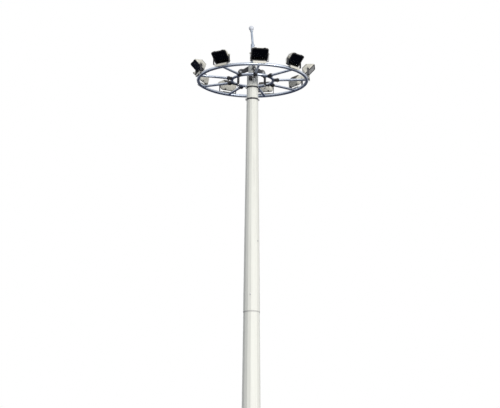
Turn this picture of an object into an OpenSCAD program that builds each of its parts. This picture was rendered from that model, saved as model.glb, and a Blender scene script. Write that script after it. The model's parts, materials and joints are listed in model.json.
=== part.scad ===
// High mast floodlight tower: a tapered sixteen-sided mast in three slip-jointed sections, with a
// lantern carriage that hangs on three ropes from the mast head and carries tilting floodlights.
// Millimetres, +Z up, origin at the centre of the base flange's underside.

/* [Mast] */
// Height of the shaft's top rim above the underside of the base flange
mast_h = 18000; // [17000:100:19000]
// Length of the top section below the rim
top_section_l = 5860; // [5500:10:6200]
// Width of the shaft across its corners at the rim
rim_d = 270; // [260:1:280]
// Growth of that width for each metre down the shaft
taper = 23; // [22:0.5:24]
// Length by which each section slips over the one below
slip_l = 650; // [550:10:750]
// Wall of the top section
wall_top = 5; // [4:0.5:6]
// Wall of the middle section
wall_mid = 6; // [5:0.5:7]
// Wall of the lower section
wall_low = 8; // [7:0.5:10]

/* [Base] */
// Diameter of the base flange
flange_d = 980; // [960:5:1020]
// Thickness of the base flange
flange_t = 30; // [25:1:40]
// Pitch circle of the anchor holes
anchor_pcd = 850; // [845:1:865]
// Diameter of each anchor hole
anchor_d = 36; // [33:1:39]
// Diameter of the cable entry in the flange
entry_d = 300; // [250:10:350]
// Height of the gussets above the flange
gusset_h = 220; // [180:5:260]
// Thickness of the gussets
gusset_t = 12; // [10:1:16]
// Clear width of the access doorway
door_w = 220; // [200:5:240]
// Clear height of the access doorway
door_h = 800; // [700:10:850]
// Height of the doorway's centre
door_z = 950; // [900:10:1000]

/* [Mast head] */
// Diameter of the head column
column_d = 200; // [190:1:210]
// Height of the head column's top above the rim
column_h = 330; // [320:5:360]
// Height of the pulley axles above the rim
pulley_z = 155; // [145:1:165]
// Radius at which the hoist ropes fall, from the mast axis
rope_r = 380; // [375:1:390]
// Diameter of the hoist ropes
rope_d = 12; // [10:1:14]
// Height of the rod socket's top above the rim
socket_h = 840; // [780:10:900]
// Diameter of the lightning rod
rod_d = 54; // [48:1:58]
// Lean of the rod above its socket, in degrees
rod_lean = 5; // [0:0.5:6]
// Height of the ball's centre above the rim, measured along the rod
ball_h = 1257; // [1150:1:1320]
// Diameter of the ball on the lightning rod
ball_d = 125; // [110:1:140]

/* [Carriage] */
// Radius of the outer ring's centre line
ring_r = 1330; // [1290:5:1370]
// Diameter of the outer ring's tube
ring_tube_d = 80; // [76:1:84]
// Radius of the inner ring's centre line
hub_r = 505; // [500:1:520]
// Diameter of the inner ring's tube
hub_tube_d = 70; // [66:1:74]
// Diameter of the spokes
spoke_d = 60; // [54:1:62]
// Depth of the ring plane below the rim when the carriage is docked
dock_drop = 85; // [80:1:95]

/* [Floodlights] */
// Width of a floodlight
lamp_w = 420; // [400:5:440]
// Height of a floodlight
lamp_h = 340; // [320:2:360]
// Depth of a floodlight's body behind its front face
lamp_t = 165; // [155:1:175]
// Angle of a floodlight's front below the horizon
lamp_aim = 44; // [36:1:52]
// Distance of a floodlight's pivot outside the ring's centre line
pivot_out = 40; // [35:1:60]

/* [Hidden] */
sides = 16;
lamp_n = 9;
rope_n = 3;
seat_gap = 0.3;
flat = cos(180 / sides);
ring_z = mast_h - dock_drop;
joint_hi_z = mast_h - top_section_l;
joint_lo_z = joint_hi_z / 2;
inset_mid = (wall_top + seat_gap) / flat;
inset_low = inset_mid + (wall_mid + seat_gap) / flat;
pulley_w = 36;
cheek_t = 8;
cheek_y = pulley_w / 2 + 2;
axle_d = 30;
pulley_d = 176;
groove_r = 74;
rope_turn_r = groove_r + seat_gap + rope_d / 2;
pulley_r = rope_r - rope_turn_r;
sleeve_top = -pulley_d / 2 + 4;
sleeve_l = pulley_z + sleeve_top + dock_drop + hub_tube_d / 2 - 20;
root_foot = 20;
plate_t = 12;
seat_z = ring_tube_d / 2 + 8;
seat_t = 8;
strap_w = 50;
strap_t = 6;
face_x = 62;
frame_t = 16;
back_x = face_x - lamp_t;
swing_r = norm([face_x, lamp_h / 2]);
pivot_z = ring_z + seat_z + seat_t + strap_t + 5 + swing_r;
pivot_r = ring_r + pivot_out;
leg_y = lamp_w / 2 + 10;
pin_d = 16;
pin_bore_d = 16.16;
corner_r = 44;
bezel_w = 28;
frame_wall = 12;
lug_t = 14;
lug_reach = 25;
$fn = 64;

// Radius to the shaft's corners at height z, for a section set in from the outer one
function shaft_r(z, inset = 0) = rim_d / 2 + taper / 2000 * (mast_h - z) - inset;

// Corners of the shaft's outline, with a flat side towards -Y
function shaft_outline(r) =
    [for (i = [0:sides - 1]) let (a = (i + 0.5) * 360 / sides) [r * sin(a), -r * cos(a)]];

// Rectangle with rounded corners
function round_rect(w, h, r, n = 4) =
    [for (q = [0:3], i = [0:n])
        let (a = 90 * (q + i / n), x = q == 0 || q == 3 ? 1 : -1, y = q < 2 ? 1 : -1)
        [x * (w / 2 - r) + r * cos(a), y * (h / 2 - r) + r * sin(a)]];

// Turns local +X to the direction at angle a from the front, so local +Y is tangential
module around(a) {
    rotate([0, 0, a - 90])
        children();
}

// Extrudes a (tangential, height) outline along local +X
module slab(x0, x1) {
    translate([x0, 0, 0])
        rotate([90, 0, 90])
            linear_extrude(height = x1 - x0)
                children();
}

// Solid tapered length of the shaft
module shaft_core(z0, z1, inset) {
    translate([0, 0, z0])
        linear_extrude(height = z1 - z0, scale = shaft_r(z1, inset) / shaft_r(z0, inset))
            polygon(shaft_outline(shaft_r(z0, inset)));
}

// Hollow length of the shaft
module shaft_tube(z0, z1, inset, wall) {
    difference() {
        shaft_core(z0, z1, inset);
        shaft_core(z0 - 1, z1 + 1, inset + wall / flat);
    }
}

// Solid torus about the mast axis in the ring plane
module ring_solid(r, tube_r) {
    translate([0, 0, ring_z])
        rotate_extrude()
            translate([r, 0])
                circle(r = tube_r);
}

// Hollow torus about the mast axis in the ring plane
module ring_tube(r, tube_d, wall) {
    translate([0, 0, ring_z])
        rotate_extrude()
            translate([r, 0])
                difference() {
                    circle(d = tube_d);
                    circle(d = tube_d - 2 * wall);
                }
}

// Places a floodlight's own frame: +X out of its glass, +Y along its tilt axis
module lamp_place(i) {
    around((i - 1) * 360 / lamp_n)
        translate([pivot_r, 0, pivot_z])
            rotate([0, lamp_aim, 0])
                children();
}

module base_flange() {
    color("lightgray")
        difference() {
            cylinder(d = flange_d, h = flange_t);
            translate([0, 0, -1])
                cylinder(d = entry_d, h = flange_t + 2);
            for (i = [0:sides - 1])
                around((i + 0.5) * 360 / sides)
                    translate([anchor_pcd / 2, 0, -1])
                        cylinder(d = anchor_d, h = flange_t + 2);
        }
}

module base_gussets() {
    z1 = flange_t + gusset_h;
    r0 = shaft_r(flange_t, inset_low) * flat + seat_gap;
    r1 = shaft_r(z1, inset_low) * flat + seat_gap;
    toe_r = flange_d / 2 - 15;
    color("lightgray")
        for (i = [0:sides - 1])
            around(i * 360 / sides)
                translate([0, gusset_t / 2, 0])
                    rotate([90, 0, 0])
                        linear_extrude(height = gusset_t)
                            polygon([[r0, flange_t], [toe_r, flange_t], [toe_r, flange_t + 25],
                                     [r1 + 30, z1], [r1, z1]]);
}

module doorway(w, h, r) {
    translate([0, 0, door_z])
        around(0)
            slab(100, shaft_r(0))
                polygon(round_rect(w, h, r));
}

module lower_section() {
    color("ivory")
        difference() {
            shaft_tube(flange_t, joint_lo_z + slip_l, inset_low, wall_low);
            doorway(door_w + 2 * frame_wall + 2 * seat_gap, door_h + 2 * frame_wall + 2 * seat_gap,
                    60 + seat_gap);
        }
}

module middle_section() {
    color("ivory")
        shaft_tube(joint_lo_z, joint_hi_z + slip_l, inset_mid, wall_mid);
}

module top_section() {
    color("ivory")
        shaft_tube(joint_hi_z, mast_h, 0, wall_top);
}

// Front plane of the door frame, proud of the shaft's widest point in the doorway
door_face = shaft_r(door_z - door_h / 2, inset_low) * flat + 18;

module door_frame() {
    color("ivory")
        translate([0, 0, door_z])
            around(0)
                slab(door_face - 110, door_face)
                    difference() {
                        polygon(round_rect(door_w + 2 * frame_wall, door_h + 2 * frame_wall, 60));
                        polygon(round_rect(door_w, door_h, 48));
                    }
}

module access_door() {
    color("ivory")
        translate([0, 0, door_z])
            around(0) {
                slab(door_face, door_face + 6)
                    polygon(round_rect(door_w + 2 * frame_wall, door_h + 2 * frame_wall, 60));
                slab(door_face + 6, door_face + 10)
                    polygon(round_rect(door_w - 30, door_h - 30, 36));
            }
}

// Clamp bands round the shaft below the docked carriage, each in two halves with ears at their ends
module head_bands() {
    band_h = 40;
    band_t = 8;
    ear_l = 24;
    ear_gap = 12;
    color("dimgray")
        for (drop = [193, 494]) {
            r = shaft_r(ring_z - drop - band_h / 2) + seat_gap / flat;
            translate([0, 0, ring_z - drop - band_h / 2])
                linear_extrude(height = band_h)
                    difference() {
                        union() {
                            polygon(shaft_outline(r + band_t / flat));
                            square([2 * (r * flat + band_t + ear_l), ear_gap + 2 * band_t], center = true);
                        }
                        polygon(shaft_outline(r));
                        square([4 * r, ear_gap], center = true);
                    }
        }
}

module head_column() {
    column_wall = 6;
    z0 = mast_h + plate_t;
    color("ivory")
        difference() {
            union() {
                translate([0, 0, mast_h])
                    cylinder(d = rim_d + 8, h = plate_t);
                translate([0, 0, z0 - 1])
                    cylinder(d = column_d, h = column_h - plate_t + 1);
            }
            translate([0, 0, mast_h - 1])
                cylinder(d = column_d - 2 * column_wall, h = column_h - plate_t + 1);
            for (i = [0:rope_n - 1])
                around(i * 360 / rope_n)
                    translate([column_d / 4, 0, mast_h + pulley_z + rope_turn_r])
                        rotate([0, 90, 0])
                            cylinder(d = 2 * rope_d, h = column_d / 2);
        }
}

// Outline of an arm's cheek about the axle: it slopes down from the column, past the axle, to the sleeve
module cheek_outline() {
    root_top = 128;
    eye_r = 36;
    toe_w = 28;
    toe_z = sleeve_top - 22;
    polygon([[column_d / 4, root_top], [column_d / 4, root_foot],
             [pulley_r - eye_r * 0.7, -eye_r * 0.7], [rope_r - toe_w, toe_z], [rope_r + toe_w, toe_z],
             [rope_r + toe_w, sleeve_top], [pulley_r + eye_r * 0.9, eye_r * 0.44],
             [pulley_r + eye_r * 0.2, eye_r * 0.98], [column_d / 2, root_top]]);
    translate([pulley_r, 0])
        circle(r = eye_r);
}

// Two cheeks on the column, with a back plate between them, the axle through them and at their ends
// a sleeve that guides the rope and meets the docked carriage
module pulley_arms() {
    back_h = 40;
    axle_l = 2 * (cheek_y + cheek_t + 8);
    sleeve_d = 60;
    sleeve_wall = 5;
    color("dimgray")
        for (i = [0:rope_n - 1])
            around(i * 360 / rope_n)
                translate([0, 0, mast_h + pulley_z])
                    difference() {
                        union() {
                            for (y = [-cheek_y, cheek_y + cheek_t])
                                translate([0, y, 0])
                                    rotate([90, 0, 0])
                                        linear_extrude(height = cheek_t)
                                            cheek_outline();
                            translate([column_d / 4, -cheek_y - 1, root_foot])
                                cube([column_d / 4 + plate_t, 2 * cheek_y + 2, back_h]);
                            translate([pulley_r, axle_l / 2, 0])
                                rotate([90, 0, 0])
                                    cylinder(d = axle_d, h = axle_l);
                            translate([rope_r, 0, sleeve_top - sleeve_l])
                                cylinder(d = sleeve_d, h = sleeve_l);
                        }
                        translate([0, 0, -pulley_z])
                            cylinder(d = column_d + 2 * seat_gap, h = pulley_z + column_h);
                        translate([rope_r, 0, sleeve_top - sleeve_l - 1])
                            cylinder(d = sleeve_d - 2 * sleeve_wall, h = sleeve_l + 2);
                    }
}

module pulleys() {
    rim_r = pulley_d / 2;
    color("gray")
        for (i = [0:rope_n - 1])
            around(i * 360 / rope_n)
                translate([pulley_r, 0, mast_h + pulley_z])
                    rotate([90, 0, 0])
                        rotate_extrude()
                            difference() {
                                translate([axle_d / 2 + 0.08, -pulley_w / 2])
                                    square([rim_r - axle_d / 2 - 0.08, pulley_w]);
                                polygon([[groove_r, -rope_d / 2 - 1], [rim_r + 1, -pulley_w / 2 + 4],
                                         [rim_r + 1, pulley_w / 2 - 4], [groove_r, rope_d / 2 + 1]]);
                            }
}

// Rope from each pulley's crown into the column
module head_ropes() {
    color("silver")
        for (i = [0:rope_n - 1])
            around(i * 360 / rope_n)
                translate([pulley_r, 0, mast_h + pulley_z]) {
                    rotate([90, 0, 0])
                        rotate_extrude(angle = 90)
                            translate([rope_turn_r, 0])
                                circle(d = rope_d);
                    translate([column_d / 4 - pulley_r, 0, rope_turn_r])
                        rotate([0, 90, 0])
                            cylinder(d = rope_d, h = pulley_r - column_d / 4);
                }
}

module rod_socket() {
    socket_d = 90;
    bore_l = 150;
    z0 = mast_h + column_h;
    color("lightgray")
        difference() {
            union() {
                translate([0, 0, z0])
                    cylinder(d = 160, h = plate_t);
                translate([0, 0, z0])
                    cylinder(d = socket_d, h = socket_h - column_h);
            }
            translate([0, 0, mast_h + socket_h - bore_l])
                cylinder(d = rod_d + 2 * seat_gap, h = bore_l + 1);
            translate([0, 0, z0 - 1])
                cylinder(d = socket_d - 12, h = socket_h - column_h - bore_l - plate_t + 1);
        }
}

// Rod with a ball at its tip, bent a little to the left above its socket
module lightning_rod() {
    z0 = mast_h + socket_h - 150;
    bend_h = socket_h + rod_d / 2;
    color("silver") {
        translate([0, 0, z0])
            cylinder(d = rod_d, h = mast_h + bend_h - z0);
        translate([0, 0, mast_h + bend_h])
            rotate([0, -rod_lean, 0]) {
                sphere(d = rod_d + 2);
                cylinder(d = rod_d, h = ball_h - bend_h);
                translate([0, 0, ball_h - bend_h])
                    sphere(d = ball_d);
            }
    }
}

// Small dark box on the shaft's side, flush with a flat of the shaft
module cable_box() {
    box_w = 84;
    box_h = 105;
    box_t = 58;
    z0 = mast_h - 10 - box_h;
    lean = atan(taper / 2000 * flat);
    color("black")
        around(-360 / sides)
            translate([shaft_r(z0) * flat + seat_gap, 0, z0])
                rotate([0, -lean, 0])
                    translate([0, -box_w / 2, 0])
                        cube([box_t, box_w, box_h]);
}

module outer_ring() {
    color("lightsteelblue")
        ring_tube(ring_r, ring_tube_d, 4);
}

module inner_ring() {
    color("lightsteelblue")
        ring_tube(hub_r, hub_tube_d, 4);
}

// Tubes from the inner ring to the outer one, shaped to fit both at their ends
module spokes() {
    color("lightsteelblue")
        difference() {
            for (i = [0:lamp_n - 1])
                around(i * 360 / lamp_n)
                    translate([hub_r, 0, ring_z])
                        rotate([0, 90, 0])
                            difference() {
                                cylinder(d = spoke_d, h = ring_r - hub_r);
                                translate([0, 0, -1])
                                    cylinder(d = spoke_d - 8, h = ring_r - hub_r + 2);
                            }
            ring_solid(ring_r, ring_tube_d / 2 + seat_gap);
            ring_solid(hub_r, hub_tube_d / 2 + seat_gap);
        }
}

// Bolted collar over the inner end of each spoke, fitted against the inner ring
module spoke_collars() {
    collar_d = spoke_d + 22;
    collar_l = 150;
    flange_x = 96;
    color("dimgray")
        difference() {
            for (i = [0:lamp_n - 1])
                around(i * 360 / lamp_n)
                    translate([hub_r, 0, ring_z])
                        rotate([0, 90, 0])
                            difference() {
                                union() {
                                    cylinder(d = collar_d, h = collar_l);
                                    translate([0, 0, flange_x])
                                        cylinder(d = collar_d + 28, h = 14);
                                }
                                translate([0, 0, -1])
                                    cylinder(d = spoke_d + 2 * seat_gap, h = collar_l + 2);
                            }
            ring_solid(hub_r, hub_tube_d / 2 + seat_gap);
            translate([0, 0, ring_z - collar_d])
                cylinder(r = hub_r + lug_reach + 2, h = 2 * collar_d);
        }
}

// Saddle bracket on top of the ring below each floodlight, with a skirt in front and two webs on the ring
module lamp_seats() {
    seat_w = 320;
    skirt_h = 56;
    seat_in = 40;
    seat_out = pivot_out + strap_w / 2 + seat_t;
    web_y = 70;
    color("wheat")
        difference() {
            for (i = [0:lamp_n - 1])
                around(i * 360 / lamp_n)
                    translate([ring_r, 0, ring_z]) {
                        translate([-seat_in, -seat_w / 2, seat_z])
                            cube([seat_in + seat_out, seat_w, seat_t]);
                        translate([seat_out - seat_t, -seat_w / 2, seat_z + seat_t - skirt_h])
                            cube([seat_t, seat_w, skirt_h]);
                        for (y = [-web_y, web_y + seat_t])
                            translate([0, y, 0])
                                rotate([90, 0, 0])
                                    linear_extrude(height = seat_t)
                                        polygon([[4 - seat_in, seat_z + 1], [seat_out - 1, seat_z + 1],
                                                 [seat_out - 1, 2], [ring_tube_d / 2 + 4, 2],
                                                 [4 - seat_in, ring_tube_d * 0.325]]);
                    }
            ring_solid(ring_r, ring_tube_d / 2 + seat_gap);
        }
}

// Flat strap bent into a U, with a bore at each end for the tilt pins
module yokes() {
    z0 = ring_z + seat_z + seat_t;
    round_end = [for (a = [0:15:180]) [strap_w / 2 * cos(a), pivot_z + strap_w / 2 * sin(a)]];
    color("dimgray")
        for (i = [0:lamp_n - 1])
            around(i * 360 / lamp_n)
                translate([pivot_r, 0, 0])
                    difference() {
                        union() {
                            translate([-strap_w / 2, -leg_y - 1, z0])
                                cube([strap_w, 2 * leg_y + 2, strap_t]);
                            for (y = [-leg_y, leg_y + strap_t])
                                translate([0, y, 0])
                                    rotate([90, 0, 0])
                                        linear_extrude(height = strap_t)
                                            polygon(concat([[-strap_w / 2, z0], [strap_w / 2, z0]],
                                                           round_end));
                        }
                        translate([0, leg_y + strap_t + 1, pivot_z])
                            rotate([90, 0, 0])
                                cylinder(d = pin_bore_d, h = 2 * (leg_y + strap_t + 1));
                    }
}

// Plate below the inner ring that each rope pulls on, with the rope's adjuster under it
module rope_lugs() {
    lug_w = 80;
    lug_top = ring_z - hub_tube_d / 2 - seat_gap;
    adjuster_d = 36;
    adjuster_l = 85;
    color("dimgray")
        for (i = [0:rope_n - 1])
            around(i * 360 / rope_n) {
                translate([rope_r - 22, -lug_w / 2, lug_top - lug_t])
                    cube([hub_r + lug_reach - rope_r + 22, lug_w, lug_t]);
                translate([rope_r, 0, lug_top - lug_t - adjuster_l])
                    cylinder(d = adjuster_d, h = adjuster_l + 1);
            }
}

module hoist_ropes() {
    z0 = ring_z - hub_tube_d / 2 - seat_gap;
    color("silver")
        for (i = [0:rope_n - 1])
            around(i * 360 / rope_n)
                translate([rope_r, 0, z0])
                    cylinder(d = rope_d, h = mast_h + pulley_z - z0);
}

// Tapered pan, with its back lower than its middle, from the front plane at x1 to the back at x0
module lamp_pan(x0, x1, rim, trim) {
    hull() {
        slab(x1 - rim, x1)
            polygon(round_rect(lamp_w - 2 * trim, lamp_h - 2 * trim, corner_r - trim));
        slab(x0, x0 + 1)
            translate([0, -lamp_h * 0.065])
                polygon(round_rect(lamp_w * 0.7 - 2 * trim, lamp_h * 0.54 - 2 * trim, 26 - trim));
    }
}

// Cast shell with ribs on its back and the tilt pins on its sides
module lamp_housing(i) {
    rib_n = 7;
    rib_h = lamp_h * 0.5;
    front_x = face_x - frame_t;
    color("gainsboro")
        lamp_place(i) {
            difference() {
                union() {
                    lamp_pan(back_x, front_x, 22, 0);
                    for (side = [-1, 1])
                        translate([0, side * (leg_y - seat_gap), 0])
                            rotate([side * 90, 0, 0])
                                cylinder(d = 44, h = 46);
                    for (k = [0:rib_n - 1])
                        translate([back_x - 18, (k / (rib_n - 1) - 0.5) * lamp_w * 0.58 - 3,
                                   -lamp_h * 0.065 - rib_h / 2])
                            cube([20, 6, rib_h]);
                }
                lamp_pan(back_x + 4, front_x + 1, 23, 4);
            }
            for (side = [-1, 1]) {
                translate([0, side * (leg_y + strap_t + seat_gap + 10), 0])
                    rotate([side * 90, 0, 0])
                        cylinder(d = pin_d, h = strap_t + 22);
                translate([0, side * (leg_y + strap_t + seat_gap + 10), 0])
                    rotate([side * 90, 0, 0])
                        cylinder(d = 34, h = 10);
            }
        }
}

module lamp_frame(i) {
    color("black")
        lamp_place(i)
            slab(face_x - frame_t, face_x)
                difference() {
                    polygon(round_rect(lamp_w, lamp_h, corner_r));
                    polygon(round_rect(lamp_w - 2 * bezel_w, lamp_h - 2 * bezel_w, corner_r - bezel_w / 2));
                }
}

module lamp_glass(i) {
    color("darkslategray")
        lamp_place(i)
            slab(face_x - 11, face_x - 6)
                polygon(round_rect(lamp_w - 2 * (bezel_w + seat_gap), lamp_h - 2 * (bezel_w + seat_gap),
                                   corner_r - bezel_w / 2 - seat_gap));
}

// Bowl behind the glass, held by its rim, with the lamp tube across it
module lamp_reflector(i) {
    rim_x = face_x - frame_t - seat_gap;
    bowl_x = back_x + 30;
    sheet = 2;
    bowl_w = lamp_w - 50;
    bowl_h = lamp_h - 50;
    color("silver")
        lamp_place(i)
            difference() {
                union() {
                    slab(rim_x - sheet, rim_x)
                        polygon(round_rect(lamp_w - 8.6, lamp_h - 8.6, corner_r - 4));
                    reflector_bowl(bowl_x, rim_x - sheet, bowl_w, bowl_h, 0);
                }
                difference() {
                    reflector_bowl(bowl_x + sheet, rim_x + 1, bowl_w, bowl_h, sheet);
                    translate([-24, lamp_w * 0.22, 0])
                        rotate([90, 0, 0])
                            cylinder(d = 40, h = lamp_w * 0.44);
                    translate([-24, lamp_w / 2, 0])
                        rotate([90, 0, 0])
                            cylinder(d = 26, h = lamp_w);
                }
            }
}

// Tapered bowl from a wide mouth at x1 to a narrow floor at x0
module reflector_bowl(x0, x1, w, h, trim) {
    hull() {
        slab(x1 - 1, x1)
            polygon(round_rect(w - 2 * trim, h - 2 * trim, 24));
        slab(x0, x0 + 1)
            polygon(round_rect(w * 0.6 - 2 * trim, h * 0.42 - 2 * trim, 20));
    }
}

base_flange();
base_gussets();
lower_section();
middle_section();
top_section();
door_frame();
access_door();
head_bands();
head_column();
pulley_arms();
pulleys();
head_ropes();
rod_socket();
lightning_rod();
cable_box();
outer_ring();
inner_ring();
spokes();
spoke_collars();
lamp_seats();
yokes();
rope_lugs();
hoist_ropes();
for (i = [1:lamp_n]) {
    lamp_housing(i);
    lamp_frame(i);
    lamp_glass(i);
    lamp_reflector(i);
}
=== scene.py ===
"""High mast floodlight tower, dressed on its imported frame: a painted sixteen-sided mast with a
carriage of nine floodlights hoisted to its head. Metres, +Z up, -Y towards the camera."""
import json
import math

import bmesh
import bpy
from mathutils import Matrix, Vector


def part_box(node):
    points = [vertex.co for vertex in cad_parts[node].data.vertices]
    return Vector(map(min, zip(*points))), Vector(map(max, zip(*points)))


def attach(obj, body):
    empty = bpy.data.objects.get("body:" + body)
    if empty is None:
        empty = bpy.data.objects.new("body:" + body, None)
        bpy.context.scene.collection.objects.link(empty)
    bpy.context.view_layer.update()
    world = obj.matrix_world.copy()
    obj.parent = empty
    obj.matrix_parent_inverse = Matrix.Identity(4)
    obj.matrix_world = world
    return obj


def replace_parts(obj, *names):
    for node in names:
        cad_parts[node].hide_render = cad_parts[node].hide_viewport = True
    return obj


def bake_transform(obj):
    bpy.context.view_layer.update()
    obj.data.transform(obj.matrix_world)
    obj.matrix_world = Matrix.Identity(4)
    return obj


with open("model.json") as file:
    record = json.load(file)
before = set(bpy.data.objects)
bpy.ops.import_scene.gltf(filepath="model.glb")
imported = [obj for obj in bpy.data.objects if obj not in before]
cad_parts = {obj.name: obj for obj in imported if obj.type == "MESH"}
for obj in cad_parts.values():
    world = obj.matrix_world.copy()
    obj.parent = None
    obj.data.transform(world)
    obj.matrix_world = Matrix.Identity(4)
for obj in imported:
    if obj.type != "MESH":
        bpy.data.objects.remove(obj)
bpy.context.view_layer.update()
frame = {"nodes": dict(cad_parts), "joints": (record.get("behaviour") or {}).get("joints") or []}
nodes = frame["nodes"]
scene = bpy.context.scene
scene.view_settings.view_transform = "Standard"


# Camera. It stands on the ground some fifty metres from the mast, with a long lens turned up at
# the mast head, so the lower half of the mast is below the picture.
photo_width_px = 500
focal_px = 2230.6
eye_distance = 52.259
eye_height = 1.6265
eye_round = math.radians(-6.9)
look_up = math.radians(14.1395)
look_aside = math.radians(-0.0525)
camera_roll = math.radians(0.25)
eye_x = eye_distance * math.sin(eye_round)
eye_y = -eye_distance * math.cos(eye_round)

camera = bpy.data.objects.new("camera", bpy.data.cameras.new("camera"))
camera.data.sensor_width = 36.0
camera.data.lens = camera.data.sensor_width * focal_px / photo_width_px
camera.data.clip_end = 500.0
camera.matrix_world = (
    Matrix.Translation((eye_x, eye_y, eye_height))
    @ Matrix.Rotation(eye_round - look_aside, 4, "Z")
    @ Matrix.Rotation(math.radians(90) + look_up, 4, "X")
    @ Matrix.Rotation(camera_roll, 4, "Z")
)
scene.collection.objects.link(camera)
scene.camera = camera


# Daylight. A hazy sun stands to the right of the camera, and a bright sky and a soft lamp behind fill
# the shadows. The sky is plain white to the camera, in metal and glass; metal mirrors a dim ground.
sky_light = (0.40, 0.425, 0.47, 1.0)
ground_light = (0.05, 0.055, 0.075, 1.0)
sky_white = (1.0, 1.0, 1.0, 1.0)
ground_mirrored = (0.030, 0.038, 0.070, 1.0)


def add_node(tree, kind, **values):
    made = tree.nodes.new("ShaderNode" + kind)
    for name, value in values.items():
        made.inputs[name.replace("_", " ")].default_value = value
    return made


def feed(tree, socket, value):
    """Links an output to a socket, or sets the socket to a plain value."""
    if isinstance(value, bpy.types.NodeSocket):
        tree.links.new(value, socket)
    else:
        socket.default_value = value


def maths(tree, operation, first, second):
    made = add_node(tree, "Math")
    made.operation = operation
    feed(tree, made.inputs[0], first)
    feed(tree, made.inputs[1], second)
    return made.outputs[0]


def spread(tree, value, low, high, to_low=0.0, to_high=1.0):
    """Maps low to high onto another span, and holds its ends."""
    made = add_node(tree, "MapRange", From_Min=low, From_Max=high, To_Min=to_low, To_Max=to_high)
    tree.links.new(value, made.inputs["Value"])
    return made.outputs[0]


def mix_colours(tree, share, first, second):
    made = add_node(tree, "Mix")
    made.data_type = "RGBA"
    feed(tree, made.inputs[0], share)
    feed(tree, made.inputs[6], first)
    feed(tree, made.inputs[7], second)
    return made.outputs[2]


world = bpy.data.worlds.new("daylight")
world.use_nodes = True
scene.world = world
sky = world.node_tree
sky.nodes.clear()
sky_split = add_node(sky, "SeparateXYZ")
sky.links.new(add_node(sky, "TexCoord").outputs["Generated"], sky_split.inputs[0])
rise = sky_split.outputs["Z"]
rays = add_node(sky, "LightPath")

lighting = add_node(sky, "Background")
lit_share = spread(sky, rise, -0.15, 0.10)
sky.links.new(mix_colours(sky, lit_share, ground_light, sky_light), lighting.inputs["Color"])

backdrop = add_node(sky, "Background")
mirror_depth = spread(sky, rise, 0.02, -0.20)
mirrored_share = maths(sky, "MULTIPLY", mirror_depth, rays.outputs["Is Glossy Ray"])
sky.links.new(mix_colours(sky, mirrored_share, sky_white, ground_mirrored), backdrop.inputs["Color"])

camera_or_glossy = maths(sky, "ADD", rays.outputs["Is Camera Ray"], rays.outputs["Is Glossy Ray"])
seen_rays = maths(sky, "ADD", camera_or_glossy, rays.outputs["Is Transmission Ray"])
sky_choice = add_node(sky, "MixShader")
sky.links.new(spread(sky, seen_rays, 0.0, 1.0), sky_choice.inputs[0])
sky.links.new(lighting.outputs[0], sky_choice.inputs[1])
sky.links.new(backdrop.outputs[0], sky_choice.inputs[2])
sky.links.new(sky_choice.outputs[0], add_node(sky, "OutputWorld").inputs[0])


def facing(angle):
    """Turns local +X to the direction at an angle in degrees from the mast's front side."""
    return Matrix.Rotation(math.radians(angle - 90), 4, "Z")


def hang_sun(name, angle, height, strength, colour, width):
    """A sun at an angle round the mast and a height above the horizon; width softens its shadows."""
    sun = bpy.data.objects.new(name, bpy.data.lights.new(name, "SUN"))
    sun.data.energy = strength
    sun.data.color = colour
    sun.data.angle = math.radians(width)
    towards = facing(angle) @ Matrix.Rotation(math.radians(-height), 4, "Y") @ Vector((1, 0, 0))
    sun.rotation_euler = towards.to_track_quat("Z", "Y").to_euler()
    scene.collection.objects.link(sun)
    return sun


hang_sun("hazy_sun", 34, 7, 1.50, (1.0, 0.985, 0.95), 12)
hang_sun("front_haze", -2, 2, 1.30, (1.0, 0.995, 0.97), 12)
back_fill = hang_sun("back_fill", 185, 14, 1.10, (0.95, 0.97, 1.0), 40)
back_fill.visible_glossy = False


# Floor. A plain pale pad of concrete carries the base and takes the mast's shadow.
floor_radius = 5.0
floor_shape = bmesh.new()
bmesh.ops.create_circle(floor_shape, cap_ends=True, segments=96, radius=floor_radius)
floor_mesh = bpy.data.meshes.new("floor")
floor_shape.to_mesh(floor_mesh)
floor_shape.free()
floor_paint = bpy.data.materials.new("pale_concrete")
floor_paint.use_nodes = True
floor_paint.node_tree.nodes["Principled BSDF"].inputs["Base Color"].default_value = (0.72, 0.72, 0.71, 1)
floor_paint.node_tree.nodes["Principled BSDF"].inputs["Roughness"].default_value = 0.9
floor_mesh.materials.append(floor_paint)
floor = bpy.data.objects.new("floor", floor_mesh)
floor.location.z = -0.002
scene.collection.objects.link(floor)


# Mast shaft. Three tapered steel sections of sixteen sides, each slipped over the one below and
# painted off-white, with rain streaks down the flats and a little dust.
paint_clean = (0.82, 0.817, 0.750, 1.0)
paint_soiled = (0.56, 0.55, 0.51, 1.0)


def start_group(name, inputs, outputs):
    group = bpy.data.node_groups.new(name, "ShaderNodeTree")
    for label, kind in inputs:
        group.interface.new_socket(label, in_out="INPUT", socket_type="NodeSocket" + kind)
    for label, kind in outputs:
        group.interface.new_socket(label, in_out="OUTPUT", socket_type="NodeSocket" + kind)
    return group, group.nodes.new("NodeGroupInput"), group.nodes.new("NodeGroupOutput")


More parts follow.
